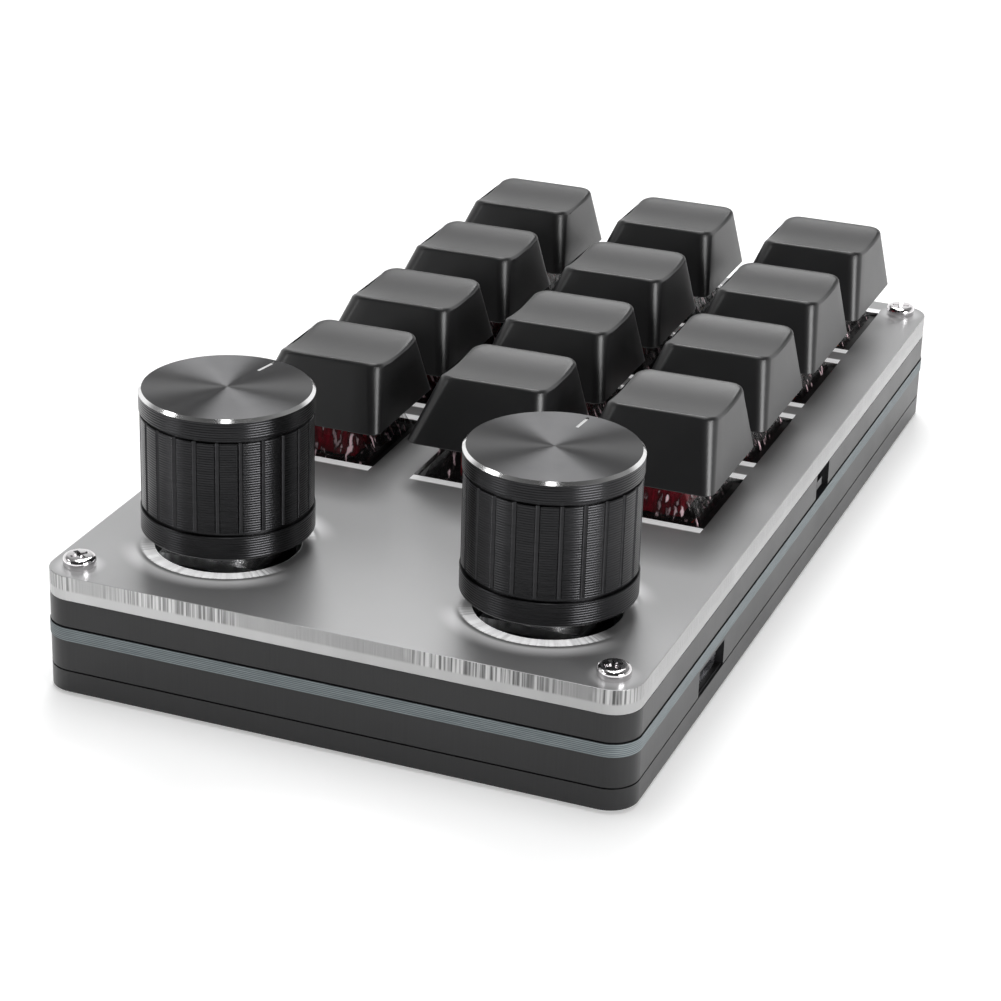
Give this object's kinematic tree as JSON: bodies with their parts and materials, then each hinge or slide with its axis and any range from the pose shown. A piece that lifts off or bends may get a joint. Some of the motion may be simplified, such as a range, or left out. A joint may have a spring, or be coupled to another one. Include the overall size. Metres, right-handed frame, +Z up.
{
  "type": "macro keypad",
  "caption": "Desktop macro keypad: a block of black key caps on sprung switches beside two push-and-turn knobs, on a layered black case under a clear top plate, with a side USB socket.",
  "frame": {"origin": "bottom centre of the whole object's box, on the plane of the four feet", "axes": "+X along the long side towards the knobs, +Y away from the user towards the side with the USB socket, +Z up"},
  "size_m": [0.1292, 0.0722, 0.0347],
  "materials": {
    "case_black": "satin black sheet with fine machining lines on its edges",
    "board": "grey-green laminate edge with thin lines along it",
    "clear_plate": "clear acrylic with a satin silver-grey face and clear cut edges",
    "screw_steel": "bright plated pan head",
    "brass": "plain brass",
    "foot_rubber": "soft black rubber",
    "socket_steel": "pressed steel shell",
    "chip_black": "moulded black package",
    "diode_brown": "moulded dark package",
    "housing_black": "moulded black plastic",
    "clear_cover": "clear moulded plastic",
    "contact_brass": "bare contact metal",
    "encoder_green": "moulded plastic base",
    "encoder_metal": "bright die-cast metal",
    "rotor_plastic": "moulded white plastic",
    "knob_black": "black anodised turned aluminium with a bright cut edge",
    "cap_black": "satin black key cap plastic",
    "stem_red": "moulded red plastic",
    "spring_steel": "spring wire"
  },
  "bodies": {
    "case": {"base_cover": "case_black", "lower_frame": "case_black", "circuit_board": "board", "upper_frame": "case_black", "top_plate": "clear_plate", "top_screws": "screw_steel", "threaded_inserts": "brass", "rubber_feet": "foot_rubber", "usb_socket": "socket_steel", "chips": "chip_black", "diodes": "diode_brown", "reset_switch": "socket_steel", "switch_housings": "housing_black", "switch_covers": "clear_cover", "switch_contacts": "contact_brass", "encoder_bodies": "encoder_green", "encoder_bushes": "encoder_metal", "key_spring_front_1": "spring_steel", "key_spring_front_2": "spring_steel", "key_spring_front_3": "spring_steel", "key_spring_front_4": "spring_steel", "key_spring_middle_1": "spring_steel", "key_spring_middle_2": "spring_steel", "key_spring_middle_3": "spring_steel", "key_spring_middle_4": "spring_steel", "key_spring_back_1": "spring_steel", "key_spring_back_2": "spring_steel", "key_spring_back_3": "spring_steel", "key_spring_back_4": "spring_steel"},
    "reset": {"reset_button": "case_black"},
    "key_front_1": {"key_cap_front_1": "cap_black", "key_stem_front_1": "stem_red"},
    "key_front_2": {"key_cap_front_2": "cap_black", "key_stem_front_2": "stem_red"},
    "key_front_3": {"key_cap_front_3": "cap_black", "key_stem_front_3": "stem_red"},
    "key_front_4": {"key_cap_front_4": "cap_black", "key_stem_front_4": "stem_red"},
    "key_middle_1": {"key_cap_middle_1": "cap_black", "key_stem_middle_1": "stem_red"},
    "key_middle_2": {"key_cap_middle_2": "cap_black", "key_stem_middle_2": "stem_red"},
    "key_middle_3": {"key_cap_middle_3": "cap_black", "key_stem_middle_3": "stem_red"},
    "key_middle_4": {"key_cap_middle_4": "cap_black", "key_stem_middle_4": "stem_red"},
    "key_back_1": {"key_cap_back_1": "cap_black", "key_stem_back_1": "stem_red"},
    "key_back_2": {"key_cap_back_2": "cap_black", "key_stem_back_2": "stem_red"},
    "key_back_3": {"key_cap_back_3": "cap_black", "key_stem_back_3": "stem_red"},
    "key_back_4": {"key_cap_back_4": "cap_black", "key_stem_back_4": "stem_red"},
    "rotor_front": {"encoder_rotor_front": "rotor_plastic"},
    "knob_front": {"knob_front": "knob_black", "encoder_shaft_front": "encoder_metal"},
    "rotor_back": {"encoder_rotor_back": "rotor_plastic"},
    "knob_back": {"knob_back": "knob_black", "encoder_shaft_back": "encoder_metal"}
  },
  "joints": [
    {"name": "reset_press", "type": "slide", "parent": "case", "child": "reset", "axis": [0, -1, 0], "range_m": [0, 0.00025], "stiffness_N_per_m": 2000, "springref_m": -0.0004},
    {"name": "key_front_1_press", "type": "slide", "parent": "case", "child": "key_front_1", "axis": [0, 0, -1], "range_m": [0, 0.004], "stiffness_N_per_m": 75, "springref_m": -0.004, "deforming": ["key_spring_front_1"]},
    {"name": "key_front_2_press", "type": "slide", "parent": "case", "child": "key_front_2", "axis": [0, 0, -1], "range_m": [0, 0.004], "stiffness_N_per_m": 75, "springref_m": -0.004, "deforming": ["key_spring_front_2"]},
    {"name": "key_front_3_press", "type": "slide", "parent": "case", "child": "key_front_3", "axis": [0, 0, -1], "range_m": [0, 0.004], "stiffness_N_per_m": 75, "springref_m": -0.004, "deforming": ["key_spring_front_3"]},
    {"name": "key_front_4_press", "type": "slide", "parent": "case", "child": "key_front_4", "axis": [0, 0, -1], "range_m": [0, 0.004], "stiffness_N_per_m": 75, "springref_m": -0.004, "deforming": ["key_spring_front_4"]},
    {"name": "key_middle_1_press", "type": "slide", "parent": "case", "child": "key_middle_1", "axis": [0, 0, -1], "range_m": [0, 0.004], "stiffness_N_per_m": 75, "springref_m": -0.004, "deforming": ["key_spring_middle_1"]},
    {"name": "key_middle_2_press", "type": "slide", "parent": "case", "child": "key_middle_2", "axis": [0, 0, -1], "range_m": [0, 0.004], "stiffness_N_per_m": 75, "springref_m": -0.004, "deforming": ["key_spring_middle_2"]},
    {"name": "key_middle_3_press", "type": "slide", "parent": "case", "child": "key_middle_3", "axis": [0, 0, -1], "range_m": [0, 0.004], "stiffness_N_per_m": 75, "springref_m": -0.004, "deforming": ["key_spring_middle_3"]},
    {"name": "key_middle_4_press", "type": "slide", "parent": "case", "child": "key_middle_4", "axis": [0, 0, -1], "range_m": [0, 0.004], "stiffness_N_per_m": 75, "springref_m": -0.004, "deforming": ["key_spring_middle_4"]},
    {"name": "key_back_1_press", "type": "slide", "parent": "case", "child": "key_back_1", "axis": [0, 0, -1], "range_m": [0, 0.004], "stiffness_N_per_m": 75, "springref_m": -0.004, "deforming": ["key_spring_back_1"]},
    {"name": "key_back_2_press", "type": "slide", "parent": "case", "child": "key_back_2", "axis": [0, 0, -1], "range_m": [0, 0.004], "stiffness_N_per_m": 75, "springref_m": -0.004, "deforming": ["key_spring_back_2"]},
    {"name": "key_back_3_press", "type": "slide", "parent": "case", "child": "key_back_3", "axis": [0, 0, -1], "range_m": [0, 0.004], "stiffness_N_per_m": 75, "springref_m": -0.004, "deforming": ["key_spring_back_3"]},
    {"name": "key_back_4_press", "type": "slide", "parent": "case", "child": "key_back_4", "axis": [0, 0, -1], "range_m": [0, 0.004], "stiffness_N_per_m": 75, "springref_m": -0.004, "deforming": ["key_spring_back_4"]},
    {"name": "knob_front_turn", "type": "hinge", "parent": "case", "child": "rotor_front", "pos_m": [0.048, -0.02, 0.0121], "axis": [0, 0, -1], "continuous": true},
    {"name": "knob_front_press", "type": "slide", "parent": "rotor_front", "child": "knob_front", "axis": [0, 0, -1], "range_m": [0, 0.0005], "stiffness_N_per_m": 3000, "springref_m": -0.0007},
    {"name": "knob_back_turn", "type": "hinge", "parent": "case", "child": "rotor_back", "pos_m": [0.048, 0.02, 0.0121], "axis": [0, 0, -1], "continuous": true},
    {"name": "knob_back_press", "type": "slide", "parent": "rotor_back", "child": "knob_back", "axis": [0, 0, -1], "range_m": [0, 0.0005], "stiffness_N_per_m": 3000, "springref_m": -0.0007}
  ]
}
